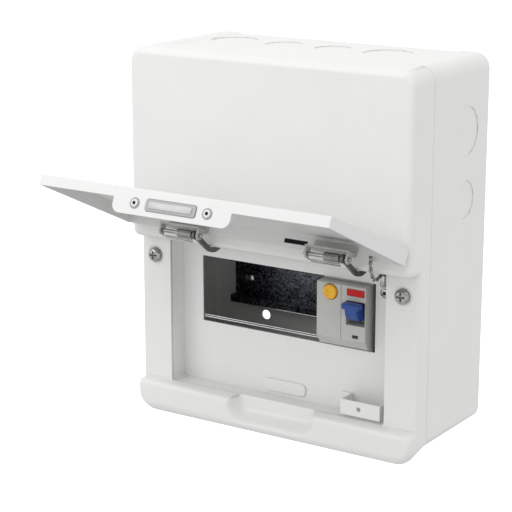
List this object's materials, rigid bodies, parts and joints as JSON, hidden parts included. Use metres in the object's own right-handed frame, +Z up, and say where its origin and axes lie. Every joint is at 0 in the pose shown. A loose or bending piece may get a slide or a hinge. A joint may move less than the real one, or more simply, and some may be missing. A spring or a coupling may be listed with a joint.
{
  "type": "breaker panel box",
  "caption": "Wall-mounted white steel breaker box with a lift-up door, a residual current device on a rail, a magnet catch and a finger scoop.",
  "frame": {"origin": "centre of the flat back face that lies against the wall", "axes": "+Z up, +Y back into the wall, +X to the right seen from the front"},
  "size_m": [0.212, 0.1988, 0.251],
  "materials": {
    "enclosure_white": "satin white powder coat",
    "door_white": "satin white powder coat",
    "zinc": "bright zinc plate",
    "galvanised": "galvanised, mottled",
    "dark_steel": "dark phosphate steel",
    "catch_grey": "smooth light grey",
    "case_grey": "fine matt grey moulding",
    "toggle_blue": "satin blue moulding",
    "button_yellow": "satin yellow moulding",
    "label_red": "printed red panel",
    "black_plastic": "matt black",
    "brass": "drawn brass",
    "strap_wire": "tinned copper strands"
  },
  "bodies": {
    "enclosure": {"base_box": "enclosure_white", "cover_post_left": "galvanised", "cover_post_right": "galvanised", "cover_screw_left": "zinc", "cover_screw_right": "zinc", "din_rail": "galvanised", "earth_bar": "brass", "earth_bar_carrier": "black_plastic", "earth_bar_screw_1": "zinc", "earth_bar_screw_2": "zinc", "earth_bar_screw_3": "zinc", "earth_bar_screw_4": "zinc", "earth_bar_screw_5": "zinc", "earth_lug": "zinc", "earth_lug_rivet": "zinc", "earth_strap": "strap_wire", "front_cover": "enclosure_white", "hinge_bracket_left": "galvanised", "hinge_bracket_right": "galvanised", "hinge_pin_left": "zinc", "hinge_pin_right": "zinc", "keeper_plate": "enclosure_white", "lock_bracket": "enclosure_white", "lock_bracket_rivet": "enclosure_white", "neutral_bar": "brass", "neutral_bar_carrier": "black_plastic", "neutral_bar_screw_1": "zinc", "neutral_bar_screw_2": "zinc", "neutral_bar_screw_3": "zinc", "neutral_bar_screw_4": "zinc", "neutral_bar_screw_5": "zinc", "rail_screw_left": "zinc", "rail_screw_right": "zinc", "rail_support_left": "galvanised", "rail_support_right": "galvanised", "rcd_case": "case_grey", "rcd_flag": "black_plastic", "rcd_label": "label_red", "rcd_screw_bottom_left": "zinc", "rcd_screw_bottom_right": "zinc", "rcd_screw_top_left": "zinc", "rcd_screw_top_right": "zinc"},
    "door": {"door_panel": "door_white", "magnet_catch": "catch_grey", "catch_rivet_left": "door_white", "catch_rivet_right": "door_white", "hinge_arm_left": "dark_steel", "hinge_arm_right": "dark_steel", "hinge_plate_left": "zinc", "hinge_plate_right": "zinc", "hinge_rod_left": "zinc", "hinge_rod_right": "zinc", "hinge_spring_left": "zinc", "hinge_spring_right": "zinc"},
    "toggle": {"rcd_toggle": "toggle_blue"},
    "test_button": {"rcd_test_button": "button_yellow"},
    "rail_clip": {"rcd_rail_clip": "black_plastic"}
  },
  "joints": [
    {"name": "door_hinge", "type": "hinge", "parent": "enclosure", "child": "door", "pos_m": [0, -0.094, 0.0048], "axis": [-1, 0, 0], "range_deg": [-115, 0], "deforming": ["earth_strap"]},
    {"name": "toggle_throw", "type": "hinge", "parent": "enclosure", "child": "toggle", "pos_m": [0.0559, -0.076, -0.038], "axis": [1, 0, 0], "range_deg": [0, 42]},
    {"name": "test_press", "type": "slide", "parent": "enclosure", "child": "test_button", "axis": [0, 1, 0], "range_m": [0, 0.0012], "stiffness_N_per_m": 400, "springref_m": -0.001},
    {"name": "clip_pull", "type": "slide", "parent": "enclosure", "child": "rail_clip", "axis": [0, 0, -1], "range_m": [0, 0.004], "stiffness_N_per_m": 400, "springref_m": -0.002}
  ]
}
